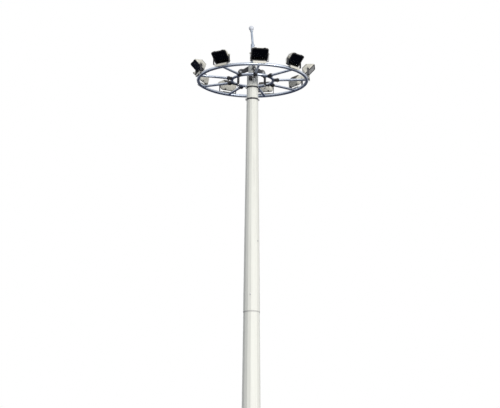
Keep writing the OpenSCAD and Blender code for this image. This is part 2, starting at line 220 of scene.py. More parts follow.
# Shared weathering: long streaks that rain draws down a surface, blotches of dust and a fine
# grain. It gives a colour, a roughness and a height.
weathering, taken, given = start_group(
    "weathering",
    (("Clean", "Color"), ("Soiled", "Color"), ("Streaks", "Float"), ("Grain", "Float"), ("Gloss", "Float")),
    (("Color", "Color"), ("Roughness", "Float"), ("Height", "Float")),
)
here = add_node(weathering, "TexCoord").outputs["Object"]
drawn_down = add_node(weathering, "Mapping", Scale=(11.0, 11.0, 0.45))
weathering.links.new(here, drawn_down.inputs["Vector"])
streak_noise = add_node(weathering, "TexNoise", Scale=1.0, Detail=6.0, Roughness=0.62)
weathering.links.new(drawn_down.outputs[0], streak_noise.inputs["Vector"])
blotch_noise = add_node(weathering, "TexNoise", Scale=2.3, Detail=5.0, Roughness=0.6)
weathering.links.new(here, blotch_noise.inputs["Vector"])
grain_noise = add_node(weathering, "TexNoise", Detail=3.0, Roughness=0.55)
weathering.links.new(here, grain_noise.inputs["Vector"])
weathering.links.new(taken.outputs["Grain"], grain_noise.inputs["Scale"])
streak_mask = spread(weathering, streak_noise.outputs["Fac"], 0.46, 0.74)
blotch_mask = spread(weathering, blotch_noise.outputs["Fac"], 0.35, 0.75, 0.35, 1.0)
grain_mask = spread(weathering, grain_noise.outputs["Fac"], 0.25, 0.75, -0.12, 0.12)
stains = maths(weathering, "ADD", maths(weathering, "MULTIPLY", streak_mask, blotch_mask), grain_mask)
dirt_mask = spread(weathering, maths(weathering, "MULTIPLY", stains, taken.outputs["Streaks"]), 0.0, 1.0)
soiled_paint = mix_colours(weathering, dirt_mask, taken.outputs["Clean"], taken.outputs["Soiled"])
dulled = maths(weathering, "MULTIPLY", dirt_mask, 0.35)
roughened = maths(weathering, "ADD", maths(weathering, "ADD", taken.outputs["Gloss"], dulled), grain_mask)
weathering.links.new(soiled_paint, given.inputs["Color"])
weathering.links.new(spread(weathering, roughened, 0.05, 0.95, 0.05, 0.95), given.inputs["Roughness"])
weathering.links.new(grain_noise.outputs["Fac"], given.inputs["Height"])


def coated(name, group, values, metallic, strength, relief):
    """A finish with its colour, roughness and height from a shared group; relief scales the height."""
    finish = bpy.data.materials.new(name)
    finish.use_nodes = True
    tree = finish.node_tree
    surface = tree.nodes["Principled BSDF"]
    surface.inputs["Metallic"].default_value = metallic
    coat = tree.nodes.new("ShaderNodeGroup")
    coat.node_tree = group
    for label, value in values.items():
        coat.inputs[label].default_value = value
    bump = add_node(tree, "Bump", Strength=strength, Distance=relief)
    tree.links.new(coat.outputs["Color"], surface.inputs["Base Color"])
    tree.links.new(coat.outputs["Roughness"], surface.inputs["Roughness"])
    tree.links.new(coat.outputs["Height"], bump.inputs["Height"])
    tree.links.new(bump.outputs[0], surface.inputs["Normal"])
    return finish


def weathered(name, clean, soiled, streaks, grain, gloss, metallic=0.0):
    """A finish under the shared weathering."""
    values = {"Clean": clean, "Soiled": soiled, "Streaks": streaks, "Grain": grain, "Gloss": gloss}
    return coated(name, weathering, values, metallic, 0.6, 0.0006)


def finish_nodes(material, *names):
    for name in names:
        for slot in nodes[name].material_slots:
            slot.material = material


shaft_paint = weathered("shaft_paint", paint_clean, paint_soiled, 0.42, 38.0, 0.42)
finish_nodes(shaft_paint, "lower_section", "middle_section", "top_section")

sides = 16
top_low, top_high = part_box("top_section")
rim_z = top_high.z
rim_half_width = 0.1324
narrowing = (top_high.x - rim_half_width) / (rim_z - top_low.z)


def half_width(section, z):
    """Distance from the mast axis to a section's flats at height z."""
    low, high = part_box(section)
    return high.x - narrowing * (z - low.z)


# Weld seams. Each section is pressed from two half shells, so a ground seam runs up two opposite
# flats, left and right of the front side.
seam_radius = 0.004
seam_sink = 0.002


def show(name, mesh, material, body):
    """Shows a finished mesh as a piece of a body; a piece between two bodies has none here."""
    mesh.materials.append(material)
    piece = bpy.data.objects.new(name, mesh)
    scene.collection.objects.link(piece)
    if body:
        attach(piece, body)
    return piece


def tube_piece(name, runs, radius, material, body, rounding=2):
    """Round bars along runs of points, each run with a flag that says whether it closes."""
    path = bpy.data.curves.new(name, "CURVE")
    path.dimensions = "3D"
    path.bevel_depth = radius
    path.bevel_resolution = rounding
    path.use_fill_caps = True
    for points, closed in runs:
        spline = path.splines.new("POLY")
        spline.points.add(len(points) - 1)
        for place, point in zip(spline.points, points):
            place.co = (*point, 1.0)
        spline.use_cyclic_u = closed
    holder = bpy.data.objects.new(name, path)
    scene.collection.objects.link(holder)
    bpy.context.view_layer.update()
    mesh = bpy.data.meshes.new_from_object(holder.evaluated_get(bpy.context.evaluated_depsgraph_get()))
    bpy.data.objects.remove(holder)
    mesh.name = name
    mesh.materials.clear()
    mesh.shade_smooth()
    return show(name, mesh, material, body)


seam_runs = []
for section in ("lower_section", "middle_section", "top_section"):
    low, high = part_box(section)
    for angle in (90, -90):
        ends = [facing(angle) @ Vector((half_width(section, z) - seam_sink, 0, z)) for z in (low.z, high.z)]
        seam_runs.append((ends, False))
tube_piece("shaft_seams", seam_runs, seam_radius, shaft_paint, "mast", 1)


# Slip joints. A fillet of pale mastic closes the step below each upper section, and a stud that
# took the jacking tackle stays on the upper section.
mastic_height = 0.034
mastic = weathered("joint_mastic", (0.58, 0.57, 0.54, 1), (0.40, 0.39, 0.36, 1), 0.8, 60.0, 0.7)


def turned(bm, outline, steps, start=0.0):
    """Spins a closed (radius, height) outline round Z."""
    ring = [bm.verts.new((r * math.cos(start), r * math.sin(start), z)) for r, z in outline]
    edges = [bm.edges.new((ring[i - 1], ring[i])) for i in range(len(ring))]
    bmesh.ops.spin(
        bm, geom=ring + edges, cent=(0, 0, 0), axis=(0, 0, 1), dvec=(0, 0, 0),
        angle=2 * math.pi, steps=steps, use_merge=True,
    )


def soften(bm, sharp=math.radians(32)):
    """Smooth faces, with the edges past the sharp angle kept crisp."""
    for face in bm.faces:
        face.smooth = True
    for edge in bm.edges:
        edge.smooth = len(edge.link_faces) == 2 and edge.calc_face_angle(math.pi) < sharp


def to_mesh(bm, name):
    bmesh.ops.remove_doubles(bm, verts=bm.verts, dist=1e-6)
    bmesh.ops.recalc_face_normals(bm, faces=bm.faces)
    soften(bm)
    mesh = bpy.data.meshes.new(name)
    bm.to_mesh(mesh)
    bm.free()
    return mesh


def add_piece(name, bm, material, body):
    return show(name, to_mesh(bm, name), material, body)


corner = 1 / math.cos(math.pi / sides)
first_corner = math.pi / sides
mastic_rings = bmesh.new()
for upper, below in (("top_section", "middle_section"), ("middle_section", "lower_section")):
    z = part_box(upper)[0].z
    foot, head = z - mastic_height, z - 0.0005
    outer = half_width(upper, z) * corner
    inner = half_width(below, z) * corner - 0.001
    fillet = [(inner, foot), (inner + 0.004, foot), (outer - 0.0005, head), (inner, head)]
    turned(mastic_rings, fillet, sides, first_corner)
add_piece("joint_mastic", mastic_rings, mastic, "mast")


def stamp(bm, mesh, place):
    """Adds a copy of a ready-made mesh to bm at a place."""
    copy = mesh.copy()
    copy.transform(place)
    bm.from_mesh(copy)
    bpy.data.meshes.remove(copy)


def drum(bm, radius, z0, z1, steps=24, edge=0.0):
    """Upright disc or bar from z0 to z1, with its rims eased by edge."""
    made = bmesh.ops.create_cone(
        bm, cap_ends=True, segments=steps, radius1=radius, radius2=radius, depth=z1 - z0,
        matrix=Matrix.Translation((0, 0, (z0 + z1) / 2)),
    )
    if edge:
        edges = {e for v in made["verts"] for e in v.link_edges}
        rims = [e for e in edges if abs(e.verts[0].co.z - e.verts[1].co.z) < 1e-7]
        bmesh.ops.bevel(
            bm, geom=rims, offset=edge, offset_type="OFFSET", segments=2, profile=0.5,
            affect="EDGES", clamp_overlap=True, material=-1,
        )


def hex_fastener(name, thread, stud=0.0):
    """Washer, hexagon head or nut and stud end, standing on z = 0 along +Z."""
    bm = bmesh.new()
    drum(bm, thread * 1.05, 0.0, thread * 0.18, 18)
    drum(bm, thread * 0.9, thread * 0.18, thread * 0.95, 6, thread * 0.06)
    if stud:
        drum(bm, thread * 0.5, thread * 0.95, thread * 0.95 + stud, 12, thread * 0.08)
    return to_mesh(bm, name)


upright_to_outward = Matrix.Rotation(math.radians(90), 4, "Y")
zinc = weathered("zinc_fasteners", (0.50, 0.51, 0.52, 1), (0.25, 0.22, 0.19, 1), 0.5, 220.0, 0.38, 0.75)
jack_bolt = hex_fastener("jack_bolt", 0.016, 0.008)
plug_bolt = hex_fastener("plug_bolt", 0.014)
jack_z = 12.53
plug_z = 13.85
side_angle = 360 / sides
shaft_studs = bmesh.new()
for angle, z, kind in ((-15, jack_z, jack_bolt), (165, jack_z, jack_bolt), (45, plug_z, plug_bolt)):
    off_flat = math.radians((angle + side_angle / 2) % side_angle - side_angle / 2)
    place = facing(angle) @ Matrix.Translation((half_width("top_section", z) / math.cos(off_flat), 0, z))
    stamp(shaft_studs, kind, place @ upright_to_outward)
add_piece("shaft_studs", shaft_studs, zinc, "mast")


# Base. A thick round flange with sixteen welded gussets, hot-dip galvanised, held by nuts on the
# anchor bolts of the foundation.
zinc_bright = (0.55, 0.57, 0.58, 1.0)
zinc_dull = (0.40, 0.42, 0.44, 1.0)
flange_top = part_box("base_flange")[1].z
gusset_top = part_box("base_gussets")[1].z
gusset_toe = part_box("base_gussets")[1].x
gusset_half = 0.006
anchor_radius = 0.425

spangle, taken, given = start_group(
    "zinc_spangle",
    (("Bright", "Color"), ("Dull", "Color"), ("Crystals", "Float")),
    (("Color", "Color"), ("Roughness", "Float"), ("Height", "Float")),
)
here = add_node(spangle, "TexCoord").outputs["Object"]
crystals = add_node(spangle, "TexVoronoi", Randomness=1.0)
spangle.links.new(here, crystals.inputs["Vector"])
spangle.links.new(taken.outputs["Crystals"], crystals.inputs["Scale"])
crystal_tone = add_node(spangle, "SeparateColor")
spangle.links.new(crystals.outputs["Color"], crystal_tone.inputs[0])
bloom_noise = add_node(spangle, "TexNoise", Scale=5.0, Detail=5.0, Roughness=0.65)
spangle.links.new(here, bloom_noise.inputs["Vector"])
bloom = spread(spangle, bloom_noise.outputs["Fac"], 0.35, 0.70)
crystal_share = maths(spangle, "MULTIPLY", crystal_tone.outputs[0], 0.45)
tone = maths(spangle, "ADD", crystal_share, maths(spangle, "MULTIPLY", bloom, 0.55))
zinc_colour = mix_colours(spangle, tone, taken.outputs["Bright"], taken.outputs["Dull"])
spangle.links.new(zinc_colour, given.inputs["Color"])
spangle.links.new(spread(spangle, tone, 0.0, 1.0, 0.28, 0.55), given.inputs["Roughness"])
spangle.links.new(crystals.outputs["Distance"], given.inputs["Height"])


def spangled(name, bright, dull, crystals_per_metre, metallic, relief=0.0003):
    """Zinc coat with crystals of its own size."""
    values = {"Bright": bright, "Dull": dull, "Crystals": crystals_per_metre}
    return coated(name, spangle, values, metallic, 0.5, relief)


base_zinc = spangled("base_zinc", zinc_bright, zinc_dull, 85.0, 0.55)
finish_nodes(base_zinc, "base_flange", "base_gussets")

base_welds = []
for i in range(sides):
    turn = facing(i * side_angle)
    foot = half_width("lower_section", flange_top) + 0.002
    head = half_width("lower_section", gusset_top) + 0.002
    for y in (-gusset_half, gusset_half):
        root = turn @ Vector((foot, y, flange_top))
        base_welds.append(([root, turn @ Vector((gusset_toe - 0.004, y, flange_top))], False))
        base_welds.append(([root, turn @ Vector((head, y, gusset_top))], False))
foot_corner = half_width("lower_section", flange_top) * corner
foot_ring = [facing((i + 0.5) * side_angle) @ Vector((foot_corner, 0, flange_top)) for i in range(sides)]
base_welds.append((foot_ring, True))
tube_piece("base_welds", base_welds, 0.005, base_zinc, "mast", 1)

anchor_nut = hex_fastener("anchor_nut", 0.030, 0.045)
anchor_nuts = bmesh.new()
for i in range(sides):
    place = facing((i + 0.5) * side_angle) @ Matrix.Translation((anchor_radius, 0, flange_top))
    stamp(anchor_nuts, anchor_nut, place)
add_piece("anchor_nuts", anchor_nuts, zinc, "mast")


# Access door. A flat steel door on a thick welded frame covers the winch; it hangs on two lift-off
# hinges at its left and shuts with two key locks at its right.
finish_nodes(shaft_paint, "door_frame", "access_door")
door_low, door_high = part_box("access_door")
door_face = door_low.y
door_half = door_high.x
door_mid_z = (door_low.z + door_high.z) / 2
hinge_height = 0.090
hinge_radius = 0.009
knuckle_gap = 0.0012
pin_end = 0.006
lock_radius = 0.021
hinge_offset = 0.27

door_steel = weathered("door_steel", (0.50, 0.51, 0.52, 1), (0.30, 0.28, 0.26, 1), 0.4, 160.0, 0.35, 0.6)
door_fittings = bmesh.new()
knuckle = bmesh.new()
for part in range(3):
    bottom = (part - 1.5) * hinge_height / 3 + knuckle_gap / 2
    drum(knuckle, hinge_radius, bottom, bottom + hinge_height / 3 - knuckle_gap, 16, 0.001)
drum(knuckle, hinge_radius * 0.55, -hinge_height / 2 - pin_end, hinge_height / 2 + pin_end, 12, 0.001)
knuckle_mesh = to_mesh(knuckle, "hinge")
lock = bmesh.new()
drum(lock, lock_radius, 0.0, 0.005, 28, 0.0015)
drum(lock, lock_radius * 0.62, 0.005, 0.009, 24, 0.001)
drum(lock, lock_radius * 0.3, 0.009, 0.013, 3, 0.0008)
lock_mesh = to_mesh(lock, "lock")
upright_to_front = Matrix.Rotation(math.radians(90), 4, "X")
hinge_line = -door_half - hinge_radius * 0.2
lock_line = door_half - 0.052
for side in (-1, 1):
    z = door_mid_z + side * hinge_offset
    stamp(door_fittings, knuckle_mesh, Matrix.Translation((hinge_line, door_face + 0.006, z)))
    stamp(door_fittings, lock_mesh, Matrix.Translation((lock_line, door_face, z)) @ upright_to_front)
add_piece("door_fittings", door_fittings, door_steel, "mast")


# Head bands. Two clamp bands of flat bar, near black partly as painted shade, sit round the shaft below
# the docked carriage, each in two halves that a bolt draws together at its left and right ears.
# This near-black colour is partly the fittings' own dark paint and partly painted shade where they sit in
# shadow; the pulley arms, spoke collars, rope lugs and yokes share it.
dark_clean_and_shade = (0.030, 0.031, 0.037, 1.0)
dark_soiled = (0.090, 0.083, 0.077, 1.0)
dark_steel = weathered("dark_steel", dark_clean_and_shade, dark_soiled, 0.6, 120.0, 0.48, 0.15)
finish_nodes(dark_steel, "head_bands")
band_height = 0.040
band_thickness = 0.008
ear_face = 0.014
ear_middle = 0.012
band_low, band_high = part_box("head_bands")
band_bolt = hex_fastener("band_bolt", 0.010)
band_nut = hex_fastener("band_nut", 0.010, 0.007)
band_bolts = bmesh.new()
for z in (band_low.z + band_height / 2, band_high.z - band_height / 2):
    out = half_width("top_section", z) + band_thickness + ear_middle
    for x in (-out, out):
        stamp(band_bolts, band_bolt, Matrix.Translation((x, -ear_face, z)) @ upright_to_front)
        stamp(band_bolts, band_nut, Matrix.Translation((x, ear_face, z)) @ upright_to_front.inverted())
add_piece("band_bolts", band_bolts, zinc, "mast")


# Head column. A tube welded on a round cap plate, painted as the shaft, bolted to the rim of the
# top section and bushed where the hoist ropes pass its wall.
finish_nodes(shaft_paint, "head_column")
cap_top = rim_z + 0.012
cap_bolt_circle = 0.121
column_radius = 0.100
column_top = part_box("head_column")[1].z
cap_bolt = hex_fastener("cap_bolt", 0.010)
cap_bolts = bmesh.new()
for i in range(9):
    stamp(cap_bolts, cap_bolt, facing(20 + i * 40) @ Matrix.Translation((cap_bolt_circle, 0, cap_top)))
add_piece("cap_bolts", cap_bolts, zinc, "mast")
tube_piece(
    "column_weld",
    [([facing(a) @ Vector((column_radius, 0, cap_top)) for a in range(0, 360, 10)], True)],
    0.004, shaft_paint, "mast",
)


# Pulley arms and pulleys. Pairs of steel cheeks, near black partly as painted shade, slope down from
# the column to a sleeve that guides the rope, and carry grooved cast pulleys on through axles, each held by
# a nut.
finish_nodes(dark_steel, "pulley_arms")
iron = weathered("pulley_iron", (0.16, 0.165, 0.175, 1), (0.24, 0.19, 0.15, 1), 0.6, 90.0, 0.5, 0.5)
finish_nodes(iron, "pulleys")
rope_angles = (0, 120, 240)
pulley_radius_out = 0.2997
pulley_low, pulley_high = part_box("pulleys")
pulley_z = (pulley_low.z + pulley_high.z) / 2
axle_end = 0.036
axle_nut = hex_fastener("axle_nut", 0.026, 0.006)
axle_nuts = bmesh.new()
for angle in rope_angles:
    centre = facing(angle) @ Matrix.Translation((pulley_radius_out, 0, pulley_z))
    for side in (-1, 1):
        cheek = centre @ Matrix.Translation((0, side * (axle_end - 0.008), 0))
        stamp(axle_nuts, axle_nut, cheek @ Matrix.Rotation(math.radians(-90 * side), 4, "X"))
add_piece("axle_nuts", axle_nuts, zinc, "mast")


# Hoist ropes. Galvanised steel rope of six strands runs from inside the column over each pulley
# and falls to the carriage; the falling part is paid out as the carriage comes down.
rope_radius = 0.006
strand_radius = 0.0021
strands = 6
lay_length = 0.075
rope_fall = 0.380
rope_turn = rope_fall - pulley_radius_out
rope_steel = weathered("rope_steel", (0.48, 0.49, 0.50, 1), (0.20, 0.19, 0.18, 1), 0.7, 400.0, 0.4, 0.7)
rope_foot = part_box("hoist_ropes")[0].z


def rope_runs(path):
    """Strands laid round a path of (centre, outward, across) samples, each with its length along."""
    runs = []
    for strand in range(strands):
        points = []
        for along, centre, outward, across in path:
            twist = 2 * math.pi * (along / lay_length + strand / strands)
            aside = math.cos(twist) * outward + math.sin(twist) * across
            points.append(centre + (rope_radius - strand_radius) * aside)
        runs.append((points, False))
    runs.append(([centre for _, centre, _, _ in path], False))
    return runs


step = 0.006
head_runs = []
fall_runs = []
for angle in rope_angles:
    turn = facing(angle).to_3x3()
    across = turn @ Vector((0, 1, 0))
    level_length = pulley_radius_out - column_radius / 2
    path = []
    for i in range(int(level_length / step) + 1):
        centre = turn @ Vector((column_radius / 2 + i * step, 0, pulley_z + rope_turn))
        path.append((i * step, centre, Vector((0, 0, 1)), across))
    arc_length = rope_turn * math.pi / 2
    arc_steps = int(arc_length / step)
    for i in range(1, arc_steps + 1):
        a = math.pi / 2 * (1 - i / arc_steps)
        outward = turn @ Vector((math.cos(a), 0, math.sin(a)))
        centre = turn @ Vector((pulley_radius_out, 0, pulley_z)) + rope_turn * outward
        path.append((level_length + arc_length * i / arc_steps, centre, outward, across))
    head_runs += rope_runs(path)
    fall = []
    fall_steps = int((pulley_z - rope_foot) / step)
    for i in range(fall_steps + 1):
        z = pulley_z + (rope_foot - pulley_z) * i / fall_steps
        along = level_length + arc_length + pulley_z - z
        fall.append((along, turn @ Vector((rope_fall, 0, z)), turn @ Vector((1, 0, 0)), across))
    fall_runs += rope_runs(fall)
head_rope = tube_piece("head_rope_strands", head_runs, strand_radius, rope_steel, "mast", 1)
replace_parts(head_rope, "head_ropes")
fall_rope = tube_piece("hoist_rope_strands", fall_runs, strand_radius, rope_steel, None, 1)
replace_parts(fall_rope, "hoist_ropes")
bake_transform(fall_rope)


# Lightning rod. A galvanised tube stands in a socket on the column, leans a little to the left above
# it and ends in a hollow ball with a paler, duller coat.
rod_bright, rod_dull = (0.36, 0.41, 0.49, 1.0), (0.25, 0.30, 0.38, 1.0)
ball_bright, ball_dull = (0.74, 0.76, 0.82, 1.0), (0.60, 0.63, 0.70, 1.0)
socket_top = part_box("rod_socket")[1].z
rod_radius = 0.027
rod_lean = math.radians(5)
ball_radius = 0.0625
socket_radius = 0.045
foot_plate = 0.012
foot_bolt_circle = 0.065

rod_zinc = spangled("rod_zinc", rod_bright, rod_dull, 120.0, 0.30)
finish_nodes(rod_zinc, "rod_socket", "lightning_rod")
rod_tree = rod_zinc.node_tree
rod_place = add_node(rod_tree, "SeparateXYZ")
rod_tree.links.new(add_node(rod_tree, "TexCoord").outputs["Object"], rod_place.inputs[0])
ball_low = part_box("lightning_rod")[1].z - 2 * ball_radius
on_ball = spread(rod_tree, rod_place.outputs["Z"], ball_low - 0.002, ball_low + 0.004)
rod_coat = next(node for node in rod_tree.nodes if node.bl_idname == "ShaderNodeGroup")
for label, rod_colour, ball_colour in (("Bright", rod_bright, ball_bright), ("Dull", rod_dull, ball_dull)):
    rod_tree.links.new(mix_colours(rod_tree, on_ball, rod_colour, ball_colour), rod_coat.inputs[label])
rod_surface = rod_tree.nodes["Principled BSDF"]
rod_tree.links.new(spread(rod_tree, on_ball, 0.0, 1.0, 0.30, 0.05), rod_surface.inputs["Metallic"])

rod_fittings = bmesh.new()
socket_bolt = hex_fastener("socket_bolt", 0.010)
for i in range(3):
    for drop in (0.035, 0.115):
        place = facing(60 + i * 120) @ Matrix.Translation((socket_radius, 0, socket_top - drop))
        stamp(rod_fittings, socket_bolt, place @ upright_to_outward)
for i in range(6):
    on_plate = Matrix.Translation((foot_bolt_circle, 0, column_top + foot_plate))
    stamp(rod_fittings, cap_bolt, facing(30 + i * 60) @ on_plate)
add_piece("rod_fittings", rod_fittings, zinc, "mast")
bend_z = socket_top + rod_radius
ball_foot = (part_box("lightning_rod")[1].z - ball_radius - bend_z) / math.cos(rod_lean) - ball_radius
rod_collars = bmesh.new()
turned(
    rod_collars,
    [
        (rod_radius - 0.001, ball_foot - 0.030), (rod_radius + 0.007, ball_foot - 0.026),
        (rod_radius + 0.010, ball_foot + 0.006), (rod_radius - 0.001, ball_foot + 0.012),
    ],
    28,
)
bmesh.ops.transform(
    rod_collars, verts=rod_collars.verts,
    matrix=Matrix.Translation((0, 0, bend_z)) @ Matrix.Rotation(-rod_lean, 4, "Y"),
)
turned(
    rod_collars,
    [
        (rod_radius - 0.001, socket_top - 0.001), (rod_radius + 0.017, socket_top - 0.001),
        (rod_radius + 0.014, socket_top + 0.010), (rod_radius - 0.001, socket_top + 0.018),
    ],
    28,
)
add_piece("rod_collars", rod_collars, rod_zinc, "mast")


# Cable box. A small dark junction box of moulded plastic on the shaft, with a lid on four screws
# and two glands in its floor.
box_plastic = weathered("box_plastic", (0.030, 0.030, 0.034, 1), (0.10, 0.095, 0.09, 1), 0.5, 300.0, 0.55)
box_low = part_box("cable_box")[0]
box_width, box_height, box_depth = 0.084, 0.105, 0.058
lean = math.atan(narrowing)
flat_x = half_width("top_section", box_low.z) + 0.0003
box_foot = facing(-22.5) @ Matrix.Translation((flat_x, 0, box_low.z)) @ Matrix.Rotation(-lean, 4, "Y")


def soft_block(bm, size, place, edge, segments=3):
    """Block of that size, centred at a place, with all its edges eased."""
    block = bmesh.new()
    bmesh.ops.create_cube(block, size=1.0)
    bmesh.ops.scale(block, vec=size, verts=block.verts)
    bmesh.ops.bevel(
        block, geom=block.edges[:], offset=edge, offset_type="OFFSET", segments=segments, profile=0.5,
        affect="EDGES", clamp_overlap=True, material=-1,
    )
    stamp(bm, to_mesh(block, "block"), place)


junction = bmesh.new()
lid_depth = 0.014
body_depth = box_depth - lid_depth - 0.001
body_place = box_foot @ Matrix.Translation((body_depth / 2, 0, box_height / 2))
lid_place = box_foot @ Matrix.Translation((box_depth - lid_depth / 2, 0, box_height / 2))
soft_block(junction, (body_depth, box_width - 0.004, box_height - 0.004), body_place, 0.004)
soft_block(junction, (lid_depth, box_width, box_height), lid_place, 0.004)
screw_inset = 0.012
screw_head = bmesh.new()
drum(screw_head, 0.0042, 0.0, 0.0022, 12, 0.0008)
screw_mesh = to_mesh(screw_head, "screw")
for side in (-1, 1):
    y = side * (box_width / 2 - screw_inset)
    for z in (screw_inset, box_height - screw_inset):
        place = box_foot @ Matrix.Translation((box_depth - 0.0005, y, z))
        stamp(junction, screw_mesh, place @ upright_to_outward)
gland = hex_fastener("gland", 0.015, 0.006)
upside_down = Matrix.Rotation(math.pi, 4, "X")
for y in (-0.02, 0.02):
    stamp(junction, gland, box_foot @ Matrix.Translation((0.022, y, 0.003)) @ upside_down)
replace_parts(add_piece("junction_box", junction, box_plastic, "mast"), "cable_box")


# Carriage rings and spokes. Galvanised steel tubes, bent and joined into a wheel, with a bead of weld
# all round the outer end of each spoke.
ring_bright = (0.68, 0.73, 0.82, 1.0)
ring_dull = (0.46, 0.52, 0.63, 1.0)
ring_zinc = spangled("ring_zinc", ring_bright, ring_dull, 60.0, 0.88)
finish_nodes(ring_zinc, "outer_ring", "inner_ring", "spokes")
ring_low, ring_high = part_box("outer_ring")
ring_z = (ring_low.z + ring_high.z) / 2
ring_tube = (ring_high.z - ring_low.z) / 2
ring_radius = ring_high.x - ring_tube
hub_low, hub_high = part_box("inner_ring")
hub_tube = (hub_high.z - hub_low.z) / 2
hub_radius = hub_high.x - hub_tube
spoke_radius = 0.030
lamp_angles = [i * 40 for i in range(9)]
wheel_welds = []
for angle in lamp_angles:
    saddle = []
    for i in range(28):
        a = 2 * math.pi * i / 28
        y, z = spoke_radius * math.cos(a), spoke_radius * math.sin(a)
        round_ring = math.sqrt((ring_radius - math.sqrt(ring_tube ** 2 - z ** 2)) ** 2 - y ** 2)
        saddle.append(facing(angle) @ Vector((round_ring - 0.001, y, ring_z + z)))
    wheel_welds.append((saddle, True))
tube_piece("wheel_welds", wheel_welds, 0.005, ring_zinc, "carriage", 1)


# Spoke collars. A collar, near black partly as painted shade, in two bolted lengths holds the inner end
# of each spoke to the inner ring, with four bolts through its flange.
finish_nodes(dark_steel, "spoke_collars")
flange_outer = 0.110
flange_thickness = 0.014
flange_bolt_circle = 0.048
flange_bolt = hex_fastener("flange_bolt", 0.006)
flange_nut = hex_fastener("flange_nut", 0.006, 0.004)
flange_bolts = bmesh.new()
for angle in lamp_angles:
    axis = facing(angle) @ Matrix.Translation((hub_radius, 0, ring_z)) @ upright_to_outward
    for i in range(4):
        bolt_turn = Matrix.Rotation(math.radians(45 + 90 * i), 4, "Z")
        across = bolt_turn @ Matrix.Translation((flange_bolt_circle, 0, flange_outer))
        stamp(flange_bolts, flange_bolt, axis @ across)
        across = bolt_turn @ Matrix.Translation((flange_bolt_circle, 0, flange_outer - flange_thickness))
        stamp(flange_bolts, flange_nut, axis @ across @ upside_down)
add_piece("flange_bolts", flange_bolts, zinc, "carriage")


# Rope lugs. A plate below the inner ring, near black partly as painted shade, takes each rope, with an
# adjuster and lock nuts under it.
finish_nodes(dark_steel, "rope_lugs")
lug_low, lug_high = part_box("rope_lugs")
plate_under = lug_high.z - 0.014
lock_nut_drop = 0.05
lug_bolt_y = 0.022
lug_bolt_z = lug_low.z + 0.085
adjuster_nut = hex_fastener("adjuster_nut", 0.026)
lug_nuts = bmesh.new()
for angle in rope_angles:
    for z in (plate_under, plate_under - lock_nut_drop):
        stamp(lug_nuts, adjuster_nut, facing(angle) @ Matrix.Translation((rope_fall, 0, z)) @ upside_down)
    for y in (-lug_bolt_y, lug_bolt_y):
        bolt_place = facing(angle) @ Matrix.Translation((hub_radius, y, lug_bolt_z))
        stamp(lug_nuts, cap_bolt, bolt_place @ upside_down)
add_piece("lug_nuts", lug_nuts, zinc, "carriage")


# Lamp seats. Cream-painted saddle brackets, folded from sheet, stand on top of the ring below the
# floodlights, with a skirt down their outer side.
seat_paint = weathered("seat_paint", (0.76, 0.73, 0.64, 1), (0.42, 0.38, 0.31, 1), 0.6, 60.0, 0.45)
finish_nodes(seat_paint, "lamp_seats")
seat_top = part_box("lamp_seats")[1].z
seat_thickness = 0.008


# Yokes. Flat strap bent into a U and painted black, round at its ends, held by two flush bolts with
# their nuts below the seat, so the floodlight swings clear above them.
strap_thickness = 0.006
strap_half = 0.025
bend_radius = 0.014
leg_outer_y = 0.226
yoke_bolt_y = 0.106
pivot = {joint["child"]: Vector(joint["pos_m"]) for joint in frame["joints"] if joint["type"] == "hinge"}
pivot_radius = -pivot["lamp_1"].y
pivot_rise = pivot["lamp_1"].z - seat_top
half_strap = []
for a in map(math.radians, (80, 60, 40, 20, 0)):
    z = pivot_rise + strap_half * math.sin(a)
    half_strap.append((leg_outer_y, leg_outer_y - strap_thickness, z, z, strap_half * math.cos(a)))
for a in map(math.radians, (0, 22.5, 45, 67.5, 90)):
    y = leg_outer_y - bend_radius
    inner_bend = bend_radius - strap_thickness
    half_strap.append((
        y + bend_radius * math.cos(a), y + inner_bend * math.cos(a),
        bend_radius - bend_radius * math.sin(a), bend_radius - inner_bend * math.sin(a), strap_half,
    ))
strap = bmesh.new()
rings = []
for side, stations in ((1, half_strap), (-1, half_strap[::-1])):
    for outer_y, inner_y, outer_z, inner_z, half in stations:
        corners = (
            (-half, outer_y, outer_z), (half, outer_y, outer_z),
            (half, inner_y, inner_z), (-half, inner_y, inner_z),
        )
        rings.append([strap.verts.new((x, side * y, z)) for x, y, z in corners])
for first, second in zip(rings, rings[1:]):
    for k in range(4):
        strap.faces.new((first[k - 1], first[k], second[k], second[k - 1]))
strap.faces.new(rings[0])
strap.faces.new(rings[-1])
strap_mesh = to_mesh(strap, "strap")
yoke_nut = hex_fastener("yoke_nut", 0.014, 0.008)
flush_head = bmesh.new()
drum(flush_head, 0.013, strap_thickness - 0.001, strap_thickness + 0.0022, 20, 0.001)
flush_mesh = to_mesh(flush_head, "flush_head")
yoke_straps = bmesh.new()
yoke_bolts = bmesh.new()
for angle in lamp_angles:
    seat_middle = facing(angle) @ Matrix.Translation((pivot_radius, 0, seat_top))
    stamp(yoke_straps, strap_mesh, seat_middle)
    for y in (-yoke_bolt_y, yoke_bolt_y):
        bolt_axis = seat_middle @ Matrix.Translation((0, y, 0))
        below = Matrix.Translation((0, 0, -seat_thickness)) @ upside_down
        stamp(yoke_bolts, yoke_nut, bolt_axis @ below)
        stamp(yoke_bolts, flush_mesh, bolt_axis)
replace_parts(add_piece("yoke_straps", yoke_straps, dark_steel, "carriage"), "yokes")
add_piece("yoke_bolts", yoke_bolts, zinc, "carriage")


# Floodlight shells. A cast aluminium pan, deeper at its foot, with a boss and pivot bolt on each
# side, and a lip that takes the front frame.
lamp_width, lamp_height = 0.420, 0.340
corner_radius = 0.044
face_x = 0.062
lip_x = 0.046
lip_depth = 0.022
back_x = -0.103
back_drop = -lamp_height * 0.065
wall = 0.004
rib_count = 7
boss_y = lamp_width / 2 + 0.0097
boss_radius = 0.022
pin_radius = 0.008
aim = math.radians(44)
shell_paint = weathered("shell_paint", (0.70, 0.675, 0.59, 1), (0.34, 0.31, 0.25, 1), 0.6, 140.0, 0.45, 0.1)


